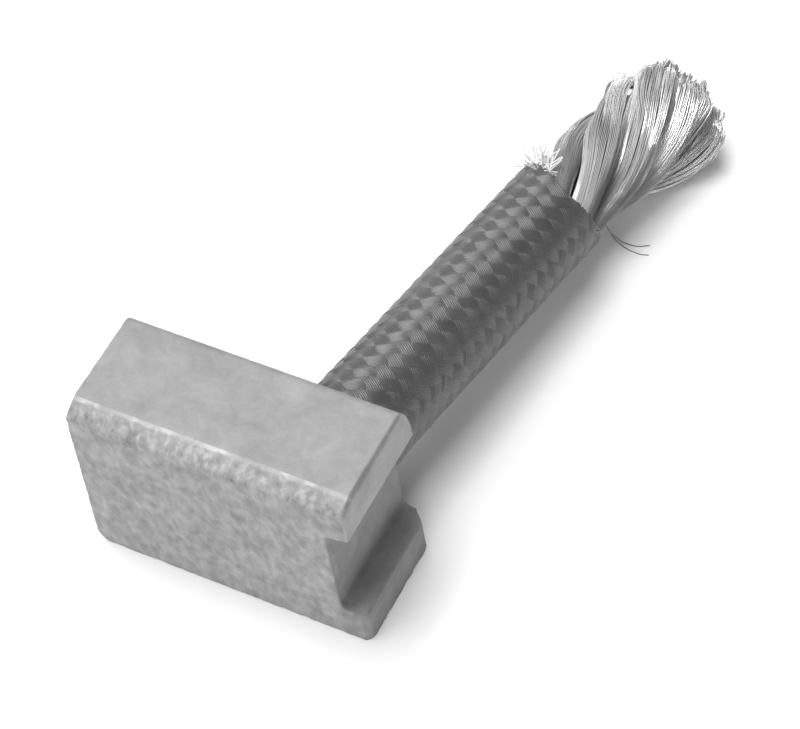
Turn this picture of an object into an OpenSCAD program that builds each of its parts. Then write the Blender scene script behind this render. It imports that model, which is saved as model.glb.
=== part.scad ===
// Carbon brush with a side notch and a sleeved, stranded lead.
// Millimetres. X runs across the block towards the notched side, Y from the front face towards the lead,
// Z up. The origin is on the block's base, midway between its two sides and its two faces.

/* [Block] */
// Width of the block between its two sliding sides, at the upper lug
block_w = 20; // [16:0.1:26]
// Height of the block
block_h = 14.4; // [12:0.1:20]
// Thickness of the block, from the front face to the lead face
block_t = 8.7; // [8:0.1:12]
// How far the left side leans in between base and top
side_draft = 0.5; // [0:0.1:0.8]
// Depth of the bevel worn along the top front edge, measured back from the front face
front_bevel_depth = 1.4; // [0.4:0.1:2.5]
// Height of that bevel, measured down from the top
front_bevel_drop = 0.75; // [0.3:0.05:1.5]
// Radius of the rounded lower left corner
corner_r = 1.1; // [0.4:0.1:2]
// Set-back of the curved top edge above the lead face
back_crown = 1; // [0.4:0.1:2]
// Height of that curved edge
back_crown_h = 3.2; // [1:0.1:4]
// Height of the bevel along the lower back edge
back_foot_h = 1.5; // [0.4:0.1:2]
// Depth of that bevel, measured in from the lead face
back_foot_depth = 1.2; // [0.4:0.1:2]
// Width of the worn strip along the top of the upper lug
chip_w = 0.22; // [0.1:0.02:0.5]
// Height of that strip at the back end of the lug
chip_h_back = 0.45; // [0.2:0.05:1]
// Height of that strip at the front corner, where the edge has broken away further
chip_h_front = 1.5; // [0.3:0.1:2]

/* [Notch] */
// Depth of the notch in the right side
notch_depth = 1.65; // [1:0.05:3]
// Height of the notch floor above the base
notch_floor = 2.75; // [1.6:0.05:4]
// Height of the notch at its wall, from its floor to its ceiling
notch_h = 8.15; // [5:0.05:9]
// Slope of the notch's floor and ceiling, rising outwards, in degrees
notch_slope = 12; // [0:1:25]
// Radius between the notch wall and its floor
notch_fillet = 0.65; // [0.3:0.05:1]
// How far the lower lug stands out past the upper one
lug_step = 0.15; // [0:0.05:0.6]
// Corner bevel at the back of the lower lug
lug_bevel = 1; // [0.3:0.05:1.2]
// Corner bevel at the front of the lower lug
lug_front_bevel = 0.4; // [0.1:0.05:0.8]

/* [Lead] */
// Distance of the lead from the middle of the block
lead_x = 4.6; // [-4:0.1:5]
// Height of the lead above the base, where it leaves the block
lead_z = 7.2; // [5.5:0.1:8]
// Length of the rope, measured straight out from the lead face
rope_len = 38.2; // [32:0.2:60]
// Depth to which the rope is pressed into the block
anchor_depth = 5; // [3:0.5:6]
// Gap between the rope and the wall of its bore
anchor_fit = 0.04; // [0.02:0.01:0.1]
// Sideways lean of the lead, in degrees
lean = 8.9; // [0:0.1:15]
// Length over which the lead turns from the bore to its leaning line
turn_len = 3; // [1:0.5:6]
// Sideways bend of the bare end
end_sway = 0.7; // [0:0.01:1]
// Downward bend of the bare end
end_sag = 0.75; // [0:0.01:1.5]

/* [Strands] */
// Radius of each outer strand
strand_r = 1.02; // [0.8:0.01:1.2]
// Gap between neighbouring strands
strand_gap = 0.03; // [0.02:0.01:0.1]
// Length in which an outer strand goes once round the rope
lay_len = 33; // [24:1:60]
// Turn of the first strand about the rope, in degrees
lay_start = 10; // [0:5:60]
// How far the strands spring outwards where they leave the sleeve
end_spread = 0.5; // [0:0.01:0.8]
// Length over which they spring outwards
spread_len = 4; // [2:0.5:6]
// Greatest difference in length between the cut ends of the strands
end_stagger = 1.2; // [0:0.1:3]
// Side on which the rope's cut end is shortest, in degrees up from the notched side
end_side = -20; // [-180:5:180]
// How far the loosest strand bows out of the bare rope
loose_bow = 1; // [0:0.1:1.4]
// Which strand that is
loose_strand = 5; // [1:1:6]

/* [Sleeve] */
// Length of the sleeve, measured straight out from the lead face
sleeve_len = 23.8; // [15:0.2:28]
// Wall of the sleeve at the top of its threads
sleeve_wall = 0.38; // [0.3:0.02:0.6]
// Gap between the sleeve and the rope
sleeve_fit = 0.06; // [0.04:0.01:0.15]
// Gap between the sleeve's end and the block
seat_gap = 0.05; // [0.02:0.01:0.2]
// Width that a bundle of thread takes up round the sleeve
bundle_w = 1.87; // [1.4:0.01:2.8]
// Length of sleeve from one crossing of the same two bundles to the next
braid_pitch = 1.25; // [1.1:0.05:2]
// Relief of the braid
braid_relief = 0.16; // [0.05:0.01:0.25]
// Slant of the cut at the sleeve's free end, in degrees
cut_slant = 14; // [0:1:25]
// Side of the sleeve that the cut leaves shortest, in degrees up from the notched side
cut_side = 50; // [0:5:180]

/* [Hidden] */
carbon = [0.66, 0.64, 0.61];
copper_tinned = [0.80, 0.79, 0.76];
braid_dark = [0.24, 0.24, 0.25];

outer_strands = 6;
strand_names = [for (k = [1:outer_strands]) str("strand_", k)];

left_x = -block_w / 2;
right_x = block_w / 2;
front_y = -block_t / 2;
lead_y = block_t / 2;
lug_x = right_x + lug_step;
notch_x = right_x - notch_depth;
notch_top = notch_floor + notch_h;
slope = tan(notch_slope);

lay_r = 2 * strand_r + strand_gap;
core_r = lay_r - strand_r - strand_gap;
rope_r = lay_r + strand_r;
bore_r = rope_r + anchor_fit;
sleeve_in_r = rope_r + sleeve_fit;
sleeve_out_r = sleeve_in_r + sleeve_wall;
sleeve_end = sleeve_len + tan(cut_slant) * sleeve_out_r;
carriers = round(2 * PI * sleeve_out_r / bundle_w);

strand_sides = 10;
strand_step = 1.9;
ring_points = 4 * carriers;
inner_rings = 8;
rows_per_pitch = 4;
cushion_foot = 0.3;
bore_clear = 0.1;
first_d = -anchor_depth + bore_clear;
overlap = 1;

// ---- the lead's centre line, as a function of the distance out from the lead face ----

// straight out of the bore, then an even turn into the leaning line
function run(d) = d < 0 ? 0 : d < turn_len ? d * d / (2 * turn_len) : d - turn_len / 2;
// 0 along the sleeve, growing to 1 at the end of the rope
function bare(d) = max(0, d - sleeve_end) / (rope_len - sleeve_end);
// how much the rope has opened where its strands spring outwards: an S-curve from the sleeve's end
function opening(d) =
    let (f = min(1, max(0, (d - sleeve_end) / spread_len)))
    1 + end_spread * f * f * (3 - 2 * f) / rope_r;
// a strand's turn about the centre line
function turn_at(k, d) = lay_start + 360 * k / outer_strands + 360 * d / lay_len;
// where strand k is cut: the rope's end is shortest on one side
function strand_end(k) = rope_len - end_stagger * (0.5 + 0.5 * cos(turn_at(k, rope_len) - end_side));
// how far the loosest strand bows out: nothing at the ends of the bare length, and most at two thirds of it,
// where the cubic is 4/27
function bow_at(k, d) = k == loose_strand ? loose_bow * pow(bare(d), 2) * (1 - bare(d)) * 27 / 4 : 0;
// the height of the lowest point of strand k's end, if the lead ran level
function level_height(k) =
    let (d = strand_end(k))
    lead_z - end_sag * pow(bare(d), 2) - opening(d) * (strand_r - lay_r * sin(turn_at(k, d)));
// the fall that brings the first strand's end down onto the surface that the block stands on
fall = min([for (k = [1:outer_strands]) level_height(k) / run(strand_end(k))]);
function lead_at(d) = [
    lead_x + tan(lean) * run(d) + end_sway * pow(bare(d), 2),
    lead_y + d,
    lead_z - fall * run(d) - end_sag * pow(bare(d), 2)
];
function ring_at(centre, r, a) = centre + [r * cos(a), 0, r * sin(a)];

// ---- a closed skin over rings of equal count: side faces and two end fans ----

function skin_faces(rings, n) = concat(
    [[for (i = [n - 1:-1:0]) i]],
    [for (k = [0:rings - 2]) for (i = [0:n - 1]) [k * n + i, k * n + n + (i + 1) % n, k * n + n + i]],
    [for (k = [0:rings - 2]) for (i = [0:n - 1]) [k * n + i, k * n + (i + 1) % n, k * n + n + (i + 1) % n]],
    [[for (i = [0:n - 1]) (rings - 1) * n + i]]
);

// ---- block ----

function arc(cx, cz, r, from, to, steps = 6) =
    [for (i = [0:steps]) let (a = from + (to - from) * i / steps) [cx + r * cos(a), cz + r * sin(a)]];

// outline seen from the front: X across, Z up
module front_outline() {
    fillet_x = notch_x + notch_fillet;
    polygon(concat(
        arc(left_x + corner_r, corner_r, corner_r, 270, 180),
        [
            [left_x + side_draft, block_h],
            [right_x, block_h],
            [right_x, notch_top + notch_depth * slope],
            [notch_x, notch_top]
        ],
        arc(fillet_x, notch_floor + notch_fillet, notch_fillet, 180, 270, 5),
        [
            [lug_x, notch_floor + (lug_x - fillet_x) * slope],
            [lug_x, 0]
        ]
    ));
}

// outline seen from the side: Y along, Z up
module side_outline() {
    crown_z = block_h - back_crown_h;
    crown_steps = 6;
    polygon(concat(
        [
            [front_y, 0],
            [lead_y - back_foot_depth, 0],
            [lead_y, back_foot_h]
        ],
        [for (i = [0:crown_steps]) let (a = 90 * i / crown_steps)
            [lead_y - back_crown * (1 - cos(a)), crown_z + back_crown_h * sin(a)]],
        [
            [front_y + front_bevel_depth, block_h],
            [front_y, block_h - front_bevel_drop]
        ]
    ));
}

// the strip broken away along the top of the upper lug, deeper towards the front
module edge_chip() {
    long = block_t + 2 * overlap;
    back_h = chip_h_back - (chip_h_front - chip_h_back) * overlap / block_t;
    front_h = chip_h_front + (chip_h_front - chip_h_back) * overlap / block_t;
    translate([right_x, front_y - overlap, block_h])
        polyhedron(
            points = [
                [-chip_w, 0, 0], [overlap, 0, 0], [overlap, 0, -front_h], [0, 0, -front_h],
                [-chip_w, long, 0], [overlap, long, 0], [overlap, long, -back_h], [0, long, -back_h]
            ],
            faces = [[0, 1, 2, 3], [7, 6, 5, 4], [4, 5, 1, 0], [5, 6, 2, 1], [6, 7, 3, 2], [7, 4, 0, 3]]
        );
}

// the bevels on the lower lug's back and front corners, below the notch ceiling
module lug_corner_cut(bevel) {
    linear_extrude(notch_top + overlap)
        polygon([[-bevel, 0], [0, -bevel], [overlap, -bevel], [overlap, overlap], [-bevel, overlap]]);
}
module lug_corner_cuts() {
    translate([lug_x, lead_y, -overlap])
        lug_corner_cut(lug_bevel);
    translate([lug_x, front_y, -overlap])
        mirror([0, 1, 0])
            lug_corner_cut(lug_front_bevel);
}

module lead_bore() {
    translate([lead_x, lead_y + overlap, lead_z])
        rotate([90, 0, 0])
            cylinder(r = bore_r, h = anchor_depth + overlap, $fn = 64);
}

module brush_block() {
    color(carbon)
        difference() {
            intersection() {
                translate([0, lead_y, 0])
                    rotate([90, 0, 0])
                        linear_extrude(block_t)
                            front_outline();
                translate([left_x - overlap, 0, 0])
                    rotate([90, 0, 90])
                        linear_extrude(block_w + lug_step + 2 * overlap)
                            side_outline();
            }
            edge_chip();
            lug_corner_cuts();
            lead_bore();
        }
}

// ---- lead ----

// a strand swept along the lead at the distance lay from its centre line
module strand(k, r, lay, stop) {
    steps = ceil((stop - first_d) / strand_step);
    points = [
        for (s = [0:steps])
            let (
                d = first_d + (stop - first_d) * s / steps,
                centre = ring_at(lead_at(d), lay * opening(d) + bow_at(k, d), turn_at(k, d))
            )
            for (i = [0:strand_sides - 1])
                ring_at(centre, r * opening(d), turn_at(k, d) + 360 * i / strand_sides)
    ];
    color(copper_tinned)
        polyhedron(points = points, faces = skin_faces(steps + 1, strand_sides));
}

module core_strand() {
    strand(0, core_r, 0, rope_len - end_stagger / 2);
}

module outer_strand(k) {
    strand(k, strand_r, lay_r, strand_end(k));
}

// height of the braid, 0 to 1, where u counts bundles round the sleeve and v counts crossings along it:
// the bundles that climb one way and the other take turns on top, and each shows as one rounded cushion
function remain(x, n) = x - n * floor(x / n);
function cushion(across, along) =
    cushion_foot + (1 - cushion_foot) * sin(180 * across) * sqrt(sin(180 * along));
function braid(u, v) =
    let (a = u + v, b = u - v, turn = remain(floor(a) + floor(b), 2))
    turn < 1 ? cushion(remain(a, 1), remain(b, 1)) : cushion(remain(b, 1), remain(a, 1));

module insulating_sleeve() {
    rows = ceil(rows_per_pitch * sleeve_len / braid_pitch);
    n = ring_points;
    function sleeve_y(a, r, t) =
        seat_gap + (sleeve_len - seat_gap - tan(cut_slant) * r * cos(a - cut_side)) * t;
    outer = [
        for (k = [0:rows]) for (i = [0:n - 1])
            let (
                a = 360 * i / n,
                d = sleeve_y(a, sleeve_out_r, k / rows),
                lift = braid(carriers * (i + 0.5) / n, (k + 0.5) / rows_per_pitch),
                r = sleeve_out_r - braid_relief * (1 - lift)
            )
            ring_at(lead_at(d), r, a)
    ];
    inner = [
        for (k = [0:inner_rings]) for (i = [0:n - 1])
            let (a = 360 * i / n)
            ring_at(lead_at(sleeve_y(a, sleeve_in_r, k / inner_rings)), sleeve_in_r, a)
    ];
    first_in = (rows + 1) * n;
    function wall(base, rings, flip) = [
        for (k = [0:rings - 1]) for (i = [0:n - 1]) for (half = [0, 1])
            let (
                j = (i + 1) % n,
                p = base + k * n,
                tri = half == 0 ? [p + i, p + n + j, p + n + i] : [p + i, p + j, p + n + j]
            )
            flip ? [tri[2], tri[1], tri[0]] : tri
    ];
    function rim(out, in, flip) = [
        for (i = [0:n - 1]) for (half = [0, 1])
            let (j = (i + 1) % n, tri = half == 0 ? [out + i, in + j, out + j] : [out + i, in + i, in + j])
            flip ? [tri[2], tri[1], tri[0]] : tri
    ];
    color(braid_dark)
        polyhedron(
            points = concat(outer, inner),
            faces = concat(
                wall(0, rows, false),
                wall(first_in, inner_rings, true),
                rim(0, first_in, false),
                rim(rows * n, first_in + inner_rings * n, true)
            )
        );
}

brush_block();
insulating_sleeve();
core_strand();
outer_strand(1);  // strand_1
outer_strand(2);  // strand_2
outer_strand(3);  // strand_3
outer_strand(4);  // strand_4
outer_strand(5);  // strand_5
outer_strand(6);  // strand_6
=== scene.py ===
# %% [markdown]
# # A carbon brush and its sleeved lead
# A carbon brush is a block of pressed carbon and metal powder that rubs on a motor's commutator. Its lead
# is a rope of fine tinned copper wires under a braided sleeve. The block's size, the rope and the sleeve
# are already there as plain solids, in one shared frame in metres. Everything below is dressed onto them,
# so it is measured from them and no place is typed in twice.

# %% Load the plain model
import math
import random

import bpy
from mathutils import Matrix, Vector, noise
from mathutils.kdtree import KDTree

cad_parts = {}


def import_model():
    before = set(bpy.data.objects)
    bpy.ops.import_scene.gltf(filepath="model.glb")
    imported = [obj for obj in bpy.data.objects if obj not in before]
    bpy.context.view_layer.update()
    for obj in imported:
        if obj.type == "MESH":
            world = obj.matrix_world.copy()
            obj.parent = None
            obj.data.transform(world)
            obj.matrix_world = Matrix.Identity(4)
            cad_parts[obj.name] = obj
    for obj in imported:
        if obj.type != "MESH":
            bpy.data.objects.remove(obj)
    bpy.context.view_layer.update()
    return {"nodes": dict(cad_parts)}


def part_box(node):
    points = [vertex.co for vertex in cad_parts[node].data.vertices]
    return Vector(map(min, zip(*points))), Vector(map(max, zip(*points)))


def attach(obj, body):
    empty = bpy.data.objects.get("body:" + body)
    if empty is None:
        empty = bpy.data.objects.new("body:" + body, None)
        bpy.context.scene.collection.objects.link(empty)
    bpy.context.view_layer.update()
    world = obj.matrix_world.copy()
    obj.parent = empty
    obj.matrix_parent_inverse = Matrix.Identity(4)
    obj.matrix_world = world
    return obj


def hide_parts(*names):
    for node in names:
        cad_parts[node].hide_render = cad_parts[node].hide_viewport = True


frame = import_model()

MM = 0.001
NOISE_START = 3
noise.seed_set(NOISE_START)  # without it the wires would stray in another way on every run
print("nodes:", sorted(frame["nodes"]))

# %% [markdown]
# ## Two habits for working by hand
# Loading leaves every solid selected, and an operator acts on all that is selected. So each step starts by
# letting go of everything and taking up one object. Both habits get a short name here.


# %% Selection helpers
def let_go():
    bpy.ops.object.select_all(action="DESELECT")


def take(*pieces):
    let_go()
    for piece in pieces:
        piece.select_set(True)
    bpy.context.view_layer.objects.active = pieces[0]
    return pieces[0]


def finish_modifier(piece, kind, **settings):
    take(piece)
    modifier = piece.modifiers.new(kind.lower(), kind)
    for name, value in settings.items():
        setattr(modifier, name, value)
    bpy.ops.object.modifier_apply(modifier=modifier.name)


def faces_of(piece):
    return f"{piece.name}: {len(piece.data.vertices)} points, {len(piece.data.polygons)} faces"


# %% [markdown]
# ## The line that the lead follows
# The lead leaves the block straight, leans to one side and comes down to the table. The solid of each
# strand was swept along that line in rings, and every ring lies in a plane of constant Y. The middle of a
# ring is a point of the strand's own line, and its widest reach is the strand's radius there. Reading the
# rings back gives smooth lines to lay wires and threads along, and they stay true to the solids.


# %% Read the rings of a strand back from its solid
class Line:
    """A smooth line through the rings of one strand: at(y) gives its centre and radius."""

    def __init__(self, node):
        rings = {}
        for vertex in frame["nodes"][node].data.vertices:
            rings.setdefault(round(vertex.co.y, 6), set()).add(vertex.co.copy().freeze())
        self.stations = []
        for y in sorted(rings):
            ring = rings[y]
            centre = sum(ring, Vector()) / len(ring)
            radius = max((p - centre).length for p in ring)
            self.stations.append((y, centre.x, centre.z, radius))
        self.start = self.stations[0][0]
        self.end = self.stations[-1][0]

    def at(self, y):
        rows = self.stations
        step = (self.end - self.start) / (len(rows) - 1)
        place = min(max((y - self.start) / step, 0), len(rows) - 1.000001)
        i = int(place)
        t = place - i
        a, b, c, d = (rows[min(max(i + k, 0), len(rows) - 1)] for k in (-1, 0, 1, 2))

        def smooth(n):
            curl = 2 * a[n] - 5 * b[n] + 4 * c[n] - d[n] + t * (3 * (b[n] - c[n]) + d[n] - a[n])
            return b[n] + t * (c[n] - a[n] + t * curl) / 2

        return Vector((smooth(1), y, smooth(2))), smooth(3)


STRANDS = ["core_strand"] + sorted(n for n in frame["nodes"] if n.startswith("strand_"))
lines = {name: Line(name) for name in STRANDS}
lead_line = lines["core_strand"]
for name, line in lines.items():
    print(f"{name}: {len(line.stations)} rings, ends at y = {line.end / MM:.2f} mm")

# %% [markdown]
# ## The block
# The real block is pressed and sintered, so no edge on it is truly sharp: each has a fine break, and
# handling has worn it unevenly. It could be modelled from a cube, but its solid already holds the notch,
# the bevels and the bored seat of the rope. So a copy of the solid is welded, its flat faces are made
# whole, its edges get a small bevel, and a fine even mesh is laid over it that wear and grain can press
# into.

# %% Weld a copy of the block and break its edges
EDGE_BREAK = 0.1 * MM
FLAT = math.radians(2)
EDGE = math.radians(24)
MESH_DEPTH = 8


def copy_of(node, name):
    take(frame["nodes"][node])
    bpy.ops.object.duplicate()
    piece = bpy.context.object
    piece.name = piece.data.name = name
    piece.parent = None
    for key in list(piece.keys()):  # the copy starts free of what was noted on the solid
        del piece[key]
    return piece


block = copy_of("brush_block", "carbon_block")
bpy.ops.object.mode_set(mode="EDIT")
bpy.ops.mesh.select_all(action="SELECT")
bpy.ops.mesh.remove_doubles(threshold=0.001 * MM)
bpy.ops.mesh.dissolve_limited(angle_limit=FLAT)
bpy.ops.object.mode_set(mode="OBJECT")
print("welded", faces_of(block))

finish_modifier(block, "BEVEL", width=EDGE_BREAK, segments=1, limit_method="ANGLE", angle_limit=EDGE)
finish_modifier(block, "REMESH", mode="SHARP", octree_depth=MESH_DEPTH, scale=0.6, sharpness=1.0)
print("even mesh over", faces_of(block))

# %% [markdown]
# ## Wear and grain of the block
# The front face is left rough by the press and the saw, in grains about half a millimetre across. The top,
# the sides and the notch are smoother. Along the edges the powder has crumbled in places, and the foot of
# the front bevel is rubbed round. Sculpting could do it, but not twice alike. So both are pressed into the
# mesh by rule. Smoothing with an uneven weight rounds the edges here more and there less and leaves flat
# faces alone. Then each point moves along its normal by a noise that is strong on the front and faint
# elsewhere.

# %% Press wear and grain into the block
low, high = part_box("brush_block")
FRONT_GRAIN = 0.03 * MM
SIDE_GRAIN = 0.007 * MM
GRAIN_SIZE = 0.5 * MM
WEAR_SIZE = 0.8 * MM
BEVEL_TOP = low.y + 1.4 * MM
BEVEL_FOOT = high.z - 0.75 * MM
FOOT_WEAR = (0.5 * MM, 1.3 * MM)


def ease(x, start, end):
    """0 before start, 1 after end and a soft slope between."""
    t = min(max((x - start) / (end - start), 0), 1)
    return t * t * (3 - 2 * t)


worn = block.vertex_groups.new(name="worn")
for vertex in block.data.vertices:
    patch = noise.fractal(vertex.co / WEAR_SIZE, 0.8, 2.0, 4)
    from_foot = (vertex.co.yz - Vector((low.y, BEVEL_FOOT))).length
    foot = 1 - ease(from_foot, *FOOT_WEAR)
    weight = max(0.05 + 0.3 * ease(patch, 0.05, 0.5), foot * (0.7 + patch))
    worn.add([vertex.index], min(max(weight, 0), 1), "REPLACE")
finish_modifier(block, "SMOOTH", factor=0.5, iterations=24, vertex_group="worn")

normals = [vertex.normal.copy() for vertex in block.data.vertices]
for vertex, normal in zip(block.data.vertices, normals):
    facing_front = ease(-normal.y, 0.35, 0.9)
    depth = SIDE_GRAIN + (FRONT_GRAIN - SIDE_GRAIN) * facing_front
    rough = noise.turbulence(vertex.co / GRAIN_SIZE, 3, False, amplitude_scale=0.6, frequency_scale=2.1)
    vertex.co += normal * depth * (rough * 0.7 - 0.35)
block.vertex_groups.clear()
take(block)
bpy.ops.object.shade_smooth()
print("pressed grain into", faces_of(block))

# %% [markdown]
# ## Wires
# A strand is a bundle of fine tinned copper wires, and its shine comes from their roundness: each wire
# catches the light along one thin line. A texture of stripes would look flat from the side, so each wire is
# a real one: a curve with a round section that becomes a mesh. It is so thin that four faces round are
# enough.


# %% Turn lists of points into round wires
def make_wires(name, paths, thickness, corners=1):
    curve = bpy.data.curves.new(name, "CURVE")
    curve.dimensions = "3D"
    curve.bevel_depth = thickness / 2
    curve.bevel_resolution = corners
    curve.use_fill_caps = True
    for path in paths:
        spline = curve.splines.new("POLY")
        spline.points.add(len(path) - 1)
        for point, place in zip(spline.points, path):
            point.co = (*place, 1)
    piece = bpy.data.objects.new(name, curve)
    bpy.context.scene.collection.objects.link(piece)
    take(piece)
    bpy.ops.object.convert(target="MESH")
    bpy.ops.object.shade_smooth()
    return bpy.context.object


# %% [markdown]
# ## The strands of the rope
# Seven strands make the rope, six laid round one. Every strand gets the same recipe on its own line: rings
# of wires that turn slowly about its middle, closely drawn while the sleeve holds them. Hair particles
# could do it, but they wouldn't keep the lay of the rope. First come the measures, and the places along a
# wire: far apart where the sleeve hides it, and close together where it is bare.

# %% Measures of the wires
WIRE = 0.1 * MM
WIRE_RINGS = [(72, 0.96), (56, 0.86), (24, 0.7), (10, 0.4)]  # wires in a ring, and its share of the radius
WIRE_TURN = math.radians(5) / MM
SLEEVE_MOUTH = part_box("insulating_sleeve")[1].y
HELD = 2 * MM
HIDDEN_STEP = 1.9 * MM
BARE_STEP = 0.42 * MM
TABLE_GAP = WIRE * 0.6


def stations(start, end):
    y = start
    while y < end:
        yield y
        y += HIDDEN_STEP if y < SLEEVE_MOUTH - HELD else BARE_STEP
    yield end


print("wires in a strand:", sum(count for count, ring in WIRE_RINGS))

# %% [markdown]
# ## How a wire strays
# Past the sleeve the strands flatten a little and loosen. Their wires gather in locks, as hair does: a lock
# strays as one, by a slow noise along its length that grows towards the cut, and each wire adds a little of
# its own. Near the end the strands open, on the far side of the rope more than on the near side. At the cut
# itself the ends draw together again, some locks are longer than others, and a few wires spring away
# altogether.

# %% How far the wires of a strand stray
LOCKS = 11
LOCK_STRAY = 0.38 * MM
WIRE_STRAY = 0.09 * MM
STRAY_LENGTH = 4 * MM
NOISE_ROOM = 90
SPRUNG = 0.06
SPRING = 0.6 * MM
FAR_SPRING = 0.5 * MM
SPRING_LENGTH = 6 * MM
SPREAD = 0.24
SPREAD_LENGTH = 5 * MM
OPENING = 0.2
CLOSING = 0.5


def before(line, y, start, end=0.0):
    """0 until start mm before the strand's end, and 1 from end mm before it."""
    return ease(y, line.end - start * MM, line.end - end * MM)


def wire_place(line, y, turn, ring, spring, inward, lock_shift, shift):
    """Where the wire is at y. turn and ring say where it starts out in the strand."""
    centre, radius = line.at(min(y, line.end))
    centre.y = y
    away = centre - lead_line.at(y)[0]
    away.y = 0
    outward = away.normalized()

    loose = ease(y, SLEEVE_MOUTH - HELD, line.end)
    along = Vector((0, 0, y / STRAY_LENGTH))
    drift = noise.noise_vector(lock_shift + along) * LOCK_STRAY * loose
    drift += noise.noise_vector(shift + along * 1.5) * WIRE_STRAY * loose
    sprung = spring + FAR_SPRING * max(-outward.x, 0)
    drift += outward * sprung * ease(y, line.end - SPRING_LENGTH, line.end)
    drift -= away * inward * before(line, y, 1.8)

    opened = 1 + OPENING * before(line, y, 8, 2)
    reach = (radius - WIRE / 2) * ring * (opened - CLOSING * before(line, y, 1.6))
    angle = turn + WIRE_TURN * (y - line.start)
    arm = Vector((math.cos(angle), 0, math.sin(angle))) * reach
    flat = SPREAD * ease(y, SLEEVE_MOUTH, SLEEVE_MOUTH + SPREAD_LENGTH)
    arm += (arm - outward * arm.dot(outward)) * flat

    place = centre + arm + drift
    place.z = max(place.z, TABLE_GAP)
    return place


# %% [markdown]
# ## How brightly a wire shines
# Handling has polished the tin in streaks that follow the wires, and near the sleeve and at the cut it is
# dull. The polished streaks are also painted brighter than the tin is, as painted highlights. A pattern in
# space would cut across the wires. So each wire is given a number along its length, and once the curves are
# a mesh, every point of it takes the number of the nearest place on a wire. It is kept as an attribute of
# the mesh, which the finish reads later.

# %% Lay the wires of each strand
SHINE_LENGTH = 5 * MM
WIRE_SHINE = 0.14
MOUTH_DULLNESS = 0.3
CUT_DULLNESS = 0.3


def polish_and_highlight(y, end, lock_shift, shift):
    """How brightly the wire shines at y: 0 is dull, and 1 is polished and painted bright as a highlight."""
    along = Vector((0, 0, y / SHINE_LENGTH))
    shine = 0.5 + 0.5 * noise.noise(lock_shift + along) + WIRE_SHINE * noise.noise(shift + along)
    shine += MOUTH_DULLNESS * (ease(y, SLEEVE_MOUTH + 1 * MM, SLEEVE_MOUTH + 7 * MM) - 1)
    return shine * (1 - CUT_DULLNESS * ease(y, end - 1 * MM, end - 0.3 * MM))


def lay_wire(line, turn, ring, chance, spring, shine):
    """The points of one wire. How brightly it shines at each of them is added to shine."""
    lock = random.Random(f"{line.end} {int(turn / (2 * math.pi) * LOCKS)}")
    lock_shift = Vector((lock.uniform(0, NOISE_ROOM), lock.uniform(0, NOISE_ROOM), 0))
    shift = Vector((chance.uniform(0, NOISE_ROOM), chance.uniform(0, NOISE_ROOM), 0))
    start = line.start if ring > 0.9 else SLEEVE_MOUTH - 2 * HELD
    end = line.end + (chance.uniform(-0.15, 0.1) + lock.uniform(-0.1, 0.45)) * MM
    inward = chance.uniform(0.1, 0.3)
    path = []
    for y in stations(start, end):
        path.append(wire_place(line, y, turn, ring, spring, inward, lock_shift, shift))
        shine.append(polish_and_highlight(y, end, lock_shift, shift))
    return path


def make_strand(name, line):
    chance = random.Random(name)
    paths, shine = [], []
    for count, ring in WIRE_RINGS:
        for i in range(count):
            turn = (2 * math.pi * (i + 0.3 * chance.random()) / count + ring) % (2 * math.pi)
            spring = SPRING * chance.random() if chance.random() < SPRUNG else 0
            paths.append(lay_wire(line, turn, ring, chance, spring, shine))
    strand = make_wires(name, paths, WIRE, corners=0)
    nearest = KDTree(len(shine))
    for i, place in enumerate(place for path in paths for place in path):
        nearest.insert(place, i)
    nearest.balance()
    marked = strand.data.attributes.new("shine", "FLOAT", "POINT")
    for mark, vertex in zip(marked.data, strand.data.vertices):
        mark.value = shine[nearest.find(vertex.co)[1]]
    print("laid", len(paths), "wires:", faces_of(strand))
    return strand


strands = {name: make_strand("wires_of_" + name, line) for name, line in lines.items()}

# %% [markdown]
# ## The braided sleeve
# The sleeve is a braid: bundles of thread climb round the rope both ways and pass over and under one
# another in turn. Where a bundle comes to the top it shows as a small cushion, and the cushions make the
# pattern of slanted dashes. A bump map of dashes would have a smooth outline, so the threads are laid as
# they run on a braiding machine. Each bundle is a few round threads side by side that rise and dip together
# at every crossing. First the plain sleeve is measured: its wall, its start, and how far its slanted cut
# reaches on every side.

# %% Measure the plain sleeve
around = []
for vertex in frame["nodes"]["insulating_sleeve"].data.vertices:
    arm = vertex.co - lead_line.at(vertex.co.y)[0]
    around.append((math.atan2(arm.z, arm.x), math.hypot(arm.x, arm.z), vertex.co.y))
sleeve_in = min(r for angle, r, y in around)
sleeve_out = max(r for angle, r, y in around)
sleeve_start = min(y for angle, r, y in around)
print(f"sleeve: {sleeve_in / MM:.2f} to {sleeve_out / MM:.2f} mm, from y = {sleeve_start / MM:.2f} mm")

MOUTH_STEPS = 48
MOUTH_NEAR = math.radians(8)
mouth = []
for k in range(MOUTH_STEPS):
    here = 2 * math.pi * k / MOUTH_STEPS
    near = [y for a, r, y in around if abs(math.remainder(a - here, 2 * math.pi)) < MOUTH_NEAR]
    mouth.append(max(near))
print(f"its cut end runs from y = {min(mouth) / MM:.2f} to {max(mouth) / MM:.2f} mm")

# %% [markdown]
# ## The frayed side of the cut
# On the far upper side the threads have crept forward out of the cut and fray there. So the cut is read
# from the plain sleeve, and that side of it gets a little more.

# %% Let the sleeve fray on its far side
FAR_SIDE = math.radians(150)
FRAYED = 1.5 * MM


def far_side(angle):
    """1 on the far upper side of the sleeve, 0 on the near half."""
    return max(math.cos(angle - FAR_SIDE), 0) ** 1.5


def mouth_at(angle):
    """How far the slanted cut lets the sleeve reach on this side."""
    place = (angle / (2 * math.pi) % 1) * MOUTH_STEPS
    i = int(place) % MOUTH_STEPS
    cut = mouth[i] + (place - int(place)) * (mouth[(i + 1) % MOUTH_STEPS] - mouth[i])
    return cut + FRAYED * far_side(angle)


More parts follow.
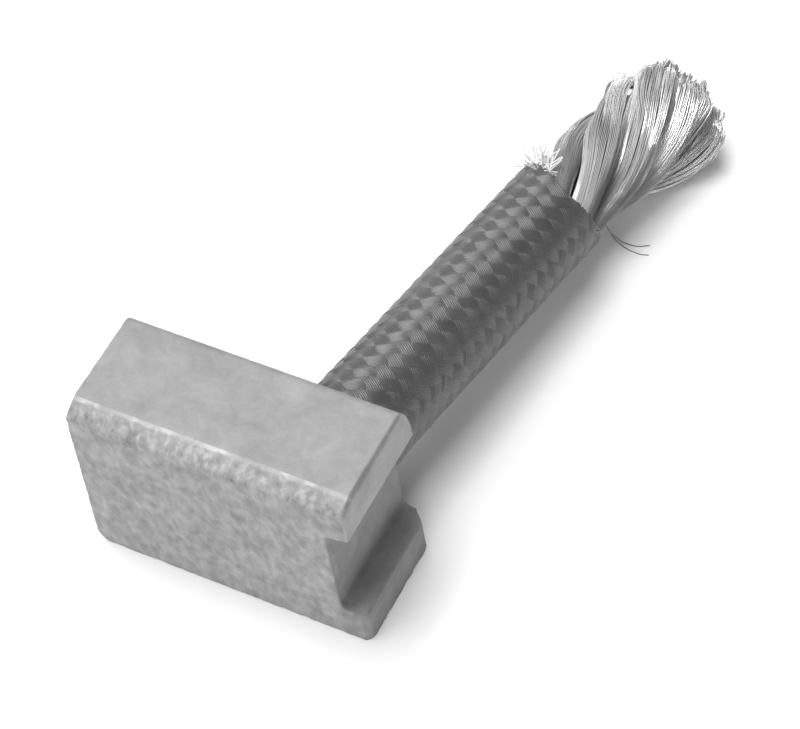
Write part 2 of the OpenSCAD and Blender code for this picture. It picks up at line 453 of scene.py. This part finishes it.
print(f"on the far side it reaches y = {mouth_at(FAR_SIDE) / MM:.2f} mm")

# %% [markdown]
# ## Laying the threads
# Unrolled, the braid is a chequerboard stood on its corner. Bundles of one set follow its rows and those of
# the other set its columns, and a bundle is on top on the squares of its own colour. So a thread needs only
# its row and how far along it is: these two give the turn round the rope, the place along it, and whether
# the thread rides high or low there. The sleeve is puffed up a little, and it leans off the rope towards
# its far side, more so at its cut end.

# %% Lay one thread of the braid
BUNDLES = 12
CROSSING = 1.17 * MM
FIRST_TURN = math.radians(-12)
FIRST_ROW = sleeve_start - 0.1 * MM
THREADS = 8
THREAD = 0.22 * MM
THREAD_STEPS = 4
CUSHION = 0.06 * MM
PUFF = 0.16 * MM
WAVE = 0.45
WAVE_FLATNESS = 0.8
WOBBLE = 0.02 * MM
LEAN = 0.06 * MM
MOUTH_LEAN = 0.2 * MM
middle_r = (sleeve_in + sleeve_out) / 2
rise = (sleeve_out - sleeve_in - THREAD) / 2


def thread_path(row, side, way, chance):
    """The points of one thread. way is 1 for the set that turns one way and -1 for the other set."""
    lane = (side + 0.5) / THREADS - 0.5
    wobble = chance.uniform(0, NOISE_ROOM)
    spare = chance.uniform(-0.3, 0.0) * MM
    steps = int(2 * (max(mouth) + FRAYED - FIRST_ROW) / CROSSING * THREAD_STEPS) + 1
    path = []
    for i in range(steps):
        passed = i / THREAD_STEPS
        crossed = row + 0.5 + lane - way * passed
        angle = FIRST_TURN + 2 * math.pi / BUNDLES * (row + 0.5 + lane - way * passed / 2)
        y = FIRST_ROW + passed / 2 * CROSSING
        if y < sleeve_start:
            continue
        if y > mouth_at(angle) + spare:
            break
        wave = math.sin(math.pi * crossed) * way * (-1) ** row
        lift = math.copysign(abs(wave) ** WAVE_FLATNESS, wave) * rise * WAVE
        r = middle_r + lift - CUSHION * (2 * lane) ** 2 * (0.4 + 0.6 * max(wave, 0))
        r += noise.noise((wobble, passed * 0.7, 0)) * WOBBLE
        lean = LEAN + (MOUTH_LEAN - LEAN) * ease(y, sleeve_start, max(mouth))
        r += PUFF + lean * math.cos(angle - FAR_SIDE)
        path.append(lead_line.at(y)[0] + Vector((math.cos(angle), 0, math.sin(angle))) * r)
    return path


braid = {}
for name, way in (("left_hand_threads", 1), ("right_hand_threads", -1)):
    chance = random.Random(name)
    paths = [thread_path(row, side, way, chance) for row in range(BUNDLES) for side in range(THREADS)]
    braid[name] = make_wires(name, paths, THREAD)
    print("braided", faces_of(braid[name]))

# %% [markdown]
# ## The cut end of the sleeve
# Where the sleeve was cut, the threads are open and a tuft of pale, broken fibres stands out on the far
# upper side. A fibre is less than half as thick as a thread, so it is a curve of four faces round. Each
# starts on the rim, leaves it roughly along the rope, and curls as it goes. Hair would do it too, but it
# isn't a mesh.

# %% Raise the tuft of fibres on the rim
FIBRE = 0.095 * MM
FIBRES = 170
FIBRE_STEP = 0.14 * MM
FIBRE_CURL = 0.55
TUFT_MIDDLE = math.radians(128)
TUFT_SPREAD = math.radians(14)


def fibre_path(chance):
    """The points of one fibre, from the rim outward."""
    angle = chance.gauss(TUFT_MIDDLE, TUFT_SPREAD)
    out = Vector((math.cos(angle), 0, math.sin(angle)))
    y = mouth_at(angle) - chance.uniform(-0.1, 0.6) * MM
    place = lead_line.at(y)[0] + out * (sleeve_out + PUFF - chance.uniform(0, 0.5) * MM)
    heading = Vector((0, chance.uniform(0.3, 1.2), 0)) + out * chance.uniform(-0.4, 0.15)
    heading += Vector((chance.uniform(-1, 1), 0, chance.uniform(-1, 1))) * 0.6
    curl = Vector((chance.uniform(-1, 1), chance.uniform(-1, 1), chance.uniform(-1, 1))) * FIBRE_CURL
    path = [place.copy()]
    for i in range(chance.randint(5, 13)):
        heading = (heading + curl).normalized()
        place = place + heading * FIBRE_STEP
        path.append(place.copy())
    return path


chance = random.Random("tuft")
tuft = make_wires("tuft_of_fibres", [fibre_path(chance) for i in range(FIBRES)], FIBRE, corners=0)
print("raised", faces_of(tuft))

# %% [markdown]
# ## Two stray wires
# Two wires of the rope broke loose just past the sleeve. They drop steeply to the table beside it and run
# out flat. Their corners are steps from the rope's own line, at its underside, and a smooth curve goes
# through them.

# %% Lay the stray wires
STRAY_WIRE = 0.08 * MM
STRAY_START = 30 * MM
STRAY_STEPS = 4
STRAY_CORNERS = [
    [(2.0, 0.4, 2.2), (2.2, 0.6, 1.3), (2.55, 0.8, 0.6), (3.0, 1.0, 0.1), (3.9, 1.1, 0), (4.65, 1.5, 0)],
    [(2.0, 0.4, 2.2), (2.3, 0.6, 1.0), (2.8, 0.65, 0.3), (3.55, 0.6, 0), (4.35, 0.55, 0), (4.95, 0.7, 0)],
]


def stray_path(corners):
    """A smooth curve through corners given in mm: from the rope's own line, and above the table."""
    start = Vector((lead_line.at(STRAY_START)[0].x, STRAY_START, STRAY_WIRE * 0.6))
    marks = [start + Vector(corner) * MM for corner in corners]
    marks = [marks[0] * 2 - marks[1]] + marks + [marks[-1] * 2 - marks[-2]]
    path = []
    for a, b, c, d in zip(marks, marks[1:], marks[2:], marks[3:]):
        bend = a * 2 - b * 5 + c * 4 - d
        twist = b * 3 - a - c * 3 + d
        for k in range(STRAY_STEPS):
            t = k / STRAY_STEPS
            path.append((b * 2 + (c - a) * t + bend * t**2 + twist * t**3) / 2)
    return path + [marks[-2]]


strays = make_wires("stray_wires", [stray_path(corners) for corners in STRAY_CORNERS], STRAY_WIRE)
print("laid", faces_of(strays))

# %% [markdown]
# ## Writing a shader as sums
# A pattern is arithmetic on numbers that change over a surface. One small class holds a socket and turns
# plus, minus and times into Math nodes, so that a pattern reads as a formula. Any other node comes from one
# method, which sets the node's settings first and then its sockets.


# %% A socket that arithmetic can be written with
class Value:
    def __init__(self, tree, socket):
        self.tree = tree
        self.socket = socket

    def node(self, kind, settings, inputs, out=0):
        made = self.tree.nodes.new("ShaderNode" + kind)
        for key, value in settings.items():
            setattr(made, key, value)
        for key, value in inputs.items():
            if isinstance(value, Value):
                self.tree.links.new(value.socket, made.inputs[key])
            else:
                made.inputs[key].default_value = value
        return Value(self.tree, made.outputs[out])

    def math(self, operation, first, second):
        return self.node("Math", {"operation": operation}, {0: first, 1: second})

    def __add__(self, other):
        return self.math("ADD", self, other)

    def __mul__(self, other):
        return self.math("MULTIPLY", self, other)

    def __sub__(self, other):
        return self.math("SUBTRACT", self, other)

    def __rsub__(self, other):
        return self.math("SUBTRACT", other, self)

    __radd__ = __add__
    __rmul__ = __mul__

    def step(self, start, end):
        """0 before start, 1 after end and a soft slope between. end may be below start."""
        sockets = {"Value": self, "From Min": start, "From Max": end}
        return self.node("MapRange", {"interpolation_type": "SMOOTHSTEP"}, sockets)

    def most(self, other):
        return self.math("MAXIMUM", self, other)

    def noise(self, size, detail=2.0, roughness=0.5, curl=0.0):
        """Cloudy noise about 0.5, with spots of that size, where self is a place."""
        sockets = {"Vector": self, "Scale": 1 / size, "Detail": detail, "Roughness": roughness}
        sockets["Distortion"] = curl
        return self.node("TexNoise", {}, sockets)

    def axes(self):
        parts = self.node("SeparateXYZ", {}, {"Vector": self})
        return [Value(self.tree, parts.socket.node.outputs[n]) for n in range(3)]

    def scaled(self, x, y, z):
        """The place with its axes scaled, so that the spots of a noise stretch along the small ones."""
        return self.node("VectorMath", {"operation": "MULTIPLY"}, {0: self, 1: (x, y, z)})

    def bump(self, depth):
        return self.node("Bump", {}, {"Height": self, "Distance": depth})


def new_finish(name, **constants):
    """A material with the given plain values, its main shader and the place on the piece."""
    material = bpy.data.materials.new(name)
    material.use_nodes = True
    tree = material.node_tree
    shader = tree.nodes["Principled BSDF"]
    for key, value in constants.items():
        shader.inputs[key.replace("_", " ")].default_value = value
    place = Value(tree, tree.nodes.new("ShaderNodeTexCoord").outputs["Object"])
    return material, shader, place


def feed(shader, socket, value):
    value.tree.links.new(value.socket, shader.inputs[socket])


def grey(value):
    """A number as a neutral colour."""
    return value.node("CombineColor", {}, {"Red": value, "Green": value, "Blue": value})


# %% [markdown]
# ## The carbon
# Pressed carbon is a matt, neutral grey with a faint sheen. Nothing on it is one even tone. The base is a
# sum of three noises: wide, soft clouds that are best seen on the top, a mottle like worn felt that is
# strong on the front only, and a fine grain. A painted image could do it, but a sum of noises has no seams
# and needs no file.

# %% Mix the tone of the carbon
CARBON_TONE = 0.275
carbon, shader, place = new_finish("carbon", Roughness=0.62, Specular_IOR_Level=0.4)
x, y, z = place.axes()
clouds = place.noise(2.0 * MM, 4.0, 0.6, 0.5)
mottle = place.scaled(1, 1, 0.6).noise(0.6 * MM, 2.5, 0.5, 0.3)
grain = place.noise(0.2 * MM, 2.0, 0.5)
behind_front = BEVEL_TOP - y
side = x.step(high.x - 0.3 * MM, high.x - 0.16 * MM)
front = behind_front.step(0.0, 0.7 * MM) * (1 - side)
tone = CARBON_TONE + (clouds - 0.5) * 0.19 + (grain - 0.5) * 0.04
# the front face is also painted a little lighter than the top, as painted light
tone = tone + (mottle - 0.5) * (0.05 + front * 0.25) + front * 0.01
print("mixed the tone from", len(carbon.node_tree.nodes), "nodes")

# %% [markdown]
# ## The rubbed front edge
# The upper front edge is rubbed bright in a ragged line. Below it the bevel is flaked: light flakes near
# the edge, and dark pits and a darker band lower down. All of them are laid out by one distance, down from
# the edge over the bevel, which a noise makes ragged.

# %% Rub the front edge
down = behind_front.most(0.0) + (high.z - z).most(0.0)
ragged = place.noise(0.7 * MM, 3.0, 0.6)
rubbed = place.noise(1.5 * MM, 2.0, 0.5)
flakes = place.scaled(1, 0.7, 0.6).noise(0.45 * MM, 2.0, 0.5)
near_front = behind_front.step(-0.1 * MM, 0.0) * (1 - side)
depth = down + (ragged - 0.5) * 0.5 * MM
line = down.step(0.03 * MM, 0.15 * MM) * depth.step(0.6 * MM, 0.3 * MM)
edge = line * (0.35 + rubbed.step(0.42, 0.6) * 0.65)
band = down.step(0.2 * MM, 0.5 * MM) * depth.step(3.6 * MM, 1.4 * MM)
pits = down.step(0.5 * MM, 1.2 * MM) * down.step(4.0 * MM, 2.4 * MM) * flakes.step(0.4, 0.3)
lower = down.step(0.5 * MM, 1.5 * MM) * down.step(2.5 * MM, 2.1 * MM)
marks = edge * 0.22 + band * flakes.step(0.45, 0.7) * 0.1 - pits * 0.055 - lower * 0.03
tone = tone + marks * near_front
print("with the rubbed edge it has", len(carbon.node_tree.nodes), "nodes")

# %% [markdown]
# ## The notched side
# A strip along the top of the notched side is chipped and darker, with a ragged foot. The side of the upper
# lug is lighter: partly it is rubbed by the holder, and partly it is painted light, for the bright table it
# faces. The notch is painted with shade, deepest in the crease of its floor. Here each mask multiplies the
# tone, because wear, light and shade change what is under them.

# %% Darken the chip, paint shade into the notch and light onto the upper lug
CHIP_X = high.x - 0.42 * MM
LUG_FOOT = high.z - 3.6 * MM
chip_foot = y * 0.05 + (high.z - 0.45 * MM) + (ragged - 0.5) * 0.5 * MM
chip = x.step(CHIP_X, CHIP_X + 0.05 * MM) * (z - chip_foot).step(0.0, 0.08 * MM)
upper = z.step(LUG_FOOT, LUG_FOOT + 0.4 * MM)
# painted shade: the notch is darkened, most in the crease of its floor
notch_shade = x.step(high.x - 2.0 * MM, high.x - 1.7 * MM) * (1 - upper)
crease_shade = z.step(low.z + 5.6 * MM, low.z + 3.2 * MM) * z.step(low.z + 1.9 * MM, low.z + 2.4 * MM)
# the upper lug's side is lightened: partly rubbed by the holder, partly painted light from the bright table
tone = tone * (1 - chip * 0.2) * (1 + side * upper * 0.36) * (1 - notch_shade * (0.1 + crease_shade * 0.12))
feed(shader, "Base Color", grey(tone))
feed(shader, "Normal", (grain * 0.4 + mottle).bump(0.03 * MM))
block.data.materials.clear()
block.data.materials.append(carbon)
print("painted the block with", len(carbon.node_tree.nodes), "nodes")

# %% [markdown]
# ## The threads
# The threads of the sleeve are dark and a little glossy, so their round tops carry the highlights, and the
# two sets of threads catch the light at different turns of the sleeve. Their grey wanders a little, where
# the sleeve was rubbed. A fabric shader isn't needed, because the weave itself is there.

# %% Paint the threads
thread_finish, shader, place = new_finish("sleeve_thread", Roughness=0.4, Specular_IOR_Level=0.95)
worn_thread = place.noise(1.6 * MM, 2.0, 0.5)
feed(shader, "Base Color", grey(0.078 + (worn_thread - 0.5) * 0.05))
for piece in braid.values():
    piece.data.materials.append(thread_finish)
print("painted", ", ".join(braid))

# %% [markdown]
# ## The wires
# The wires are tinned copper. Where the tin is clean they are bright and smooth, and elsewhere a dull bloom
# lies on them. The clean streaks are also painted lighter than clean tin, as painted highlights. The
# attribute
# that the wires carry says where: it sets the lightness and the roughness together, so that the clean
# streaks follow the wires. A fine noise, stretched along the rope, breaks up the streaks' borders.

# %% Paint the wires
wire_finish, shader, place = new_finish("tinned_wire", Metallic=0.7)
bloom = place.noise(2.4 * MM, 3.0, 0.6)
shine = place.node("Attribute", {"attribute_name": "shine"}, {}, out="Fac")
# painted highlight: the clean streaks are made both smoother and lighter in colour
clean_tin_and_highlight = (shine + (place.scaled(1, 0.2, 1).noise(0.5 * MM) - 0.5) * 0.3).step(0.34, 0.55)
bare = place.axes()[1].step(SLEEVE_MOUTH, SLEEVE_MOUTH + 6 * MM)
feed(shader, "Base Color", grey(0.36 + (bloom - 0.5) * 0.16 + bare * 0.16 + clean_tin_and_highlight * 0.5))
feed(shader, "Roughness", 0.52 - clean_tin_and_highlight * 0.34)
for piece in strands.values():
    piece.data.materials.append(wire_finish)
print("painted", len(strands), "strands")

# %% [markdown]
# ## The tuft and the stray wires
# The broken fibres are pale, almost white, because bare glass yarn scatters the light. The two stray wires
# lie in the sleeve's shade, so they are painted darker than the rope, as painted shade. Both only need a
# plain finish that isn't quite even.

# %% Paint the tuft and the stray wires
tuft_finish, shader, place = new_finish("pale_fibre", Roughness=0.8)
feed(shader, "Base Color", grey(0.9 + (place.noise(0.3 * MM) - 0.5) * 0.2))
tuft.data.materials.append(tuft_finish)

# painted shade: the stray wires are dark grey because they lie in the sleeve's shadow
stray_shade_finish, shader, place = new_finish("shaded_wire", Roughness=0.5)
feed(shader, "Base Color", grey(0.22 + (place.noise(0.5 * MM) - 0.5) * 0.1))
strays.data.materials.append(stray_shade_finish)
print("painted", tuft.name, "and", strays.name)

# %% [markdown]
# ## What each piece stands for
# The dressed pieces take the place of the plain solids, which are hidden. All of them ride on the one body.

# %% Ride and replace
for piece, node, slot in (
    [(block, "brush_block", "carbon"), (tuft, None, "sleeve"), (strays, None, "strand_metal")]
    + [(piece, "insulating_sleeve", "sleeve") for piece in braid.values()]
    + [(piece, name, "strand_metal") for name, piece in strands.items()]
):
    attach(piece, "root")
    if node:
        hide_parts(node)

# %% [markdown]
# ## The table
# The brush lies on a white, matt table, far larger than the view. A very faint, wide cloudiness keeps it
# from being one flat tone. It belongs to the stage, not to the part.

# %% Set the table
scene = bpy.context.scene
scene.view_settings.view_transform = "Standard"
let_go()
bpy.ops.mesh.primitive_plane_add(size=4, location=(0, 0, 0))
table = bpy.context.object
table.name = "table"
table_finish, shader, place = new_finish("white_table", Roughness=0.9)
feed(shader, "Base Color", grey(0.9 + (place.noise(9 * MM) - 0.5) * 0.01))
table.data.materials.append(table_finish)
print("set the", table.name)

# %% [markdown]
# ## The lamps
# The light is soft, and the studio around is dark. Most of the light comes from overhead and from high on
# the left, so the shadow is a pale skirt on the other side, and weaker softboxes low down and in front open
# the dark sides. In a studio, flags keep a lamp out of the reflections, and a white card is hung for
# reflections alone. Here a lamp that doesn't shine is kept out of reflections, and one that doesn't light
# shows in reflections only.

# %% Hang the lamps
LIGHT_DISTANCE = 0.6
middle = (low + high) / 2


def soft_light(name, power, azimuth, elevation, size=0.42, shines=True, lights=True):
    """A square softbox. Azimuth 0 is in front of the block and 90 on its right, in degrees."""
    turn, climb = math.radians(azimuth), math.radians(elevation)
    away = Vector((math.sin(turn) * math.cos(climb), -math.cos(turn) * math.cos(climb), math.sin(climb)))
    let_go()
    bpy.ops.object.light_add(type="AREA", location=middle + away * LIGHT_DISTANCE)
    light = bpy.context.object
    light.name = name
    light.data.size = size
    light.data.energy = power
    light.rotation_euler = away.to_track_quat("Z", "Y").to_euler()
    light.visible_glossy = shines
    light.visible_diffuse = lights


soft_light("overhead", 2.25, 270, 88.5, size=0.3, shines=False)
soft_light("gloss_card", 2.2, 252, 77, size=0.3, lights=False)
soft_light("high_left", 2.15, 240, 64)
soft_light("low_front_left", 1.5, 315, 18)
soft_light("low_back_left", 0.5, 225, 18)
soft_light("front", 0.8, 0, 58, shines=False)
soft_light("front_right", 0.55, 45, 40, shines=False)
soft_light("low_right", 0.6, 45, 18, shines=False)
world = bpy.data.worlds.new("studio")
scene.world = world
world.use_nodes = True
world.node_tree.nodes["Background"].inputs["Color"].default_value = (1, 1, 1, 1)
world.node_tree.nodes["Background"].inputs["Strength"].default_value = 0.0

# %% [markdown]
# ## Camera
# The view is from well above the front right corner, aimed between the block and the lead and a little
# tilted. The lens is long, so that the far end of the lead is hardly smaller than the near one. The aim,
# the direction and the distance are given, and the camera's place follows from them.

# %% Aim the camera
AIM = Vector((4.43, 12.09, 6.0)) * MM
AZIMUTH = math.radians(35.49)
ELEVATION = math.radians(52.53)
ROLL = math.radians(10.33)
DISTANCE = 193.23 * MM
LENS = 134.4
back = Vector((math.sin(AZIMUTH), -math.cos(AZIMUTH), math.tan(ELEVATION))).normalized()
let_go()
bpy.ops.object.camera_add(location=AIM + back * DISTANCE)
camera = bpy.context.object
camera.data.lens = LENS
camera.data.clip_start = 0.01
turned = back.to_track_quat("Z", "Y").to_matrix() @ Matrix.Rotation(-ROLL, 3, "Z")
camera.rotation_euler = turned.to_euler()
scene.camera = camera
print("camera at", [round(c / MM, 2) for c in camera.location])
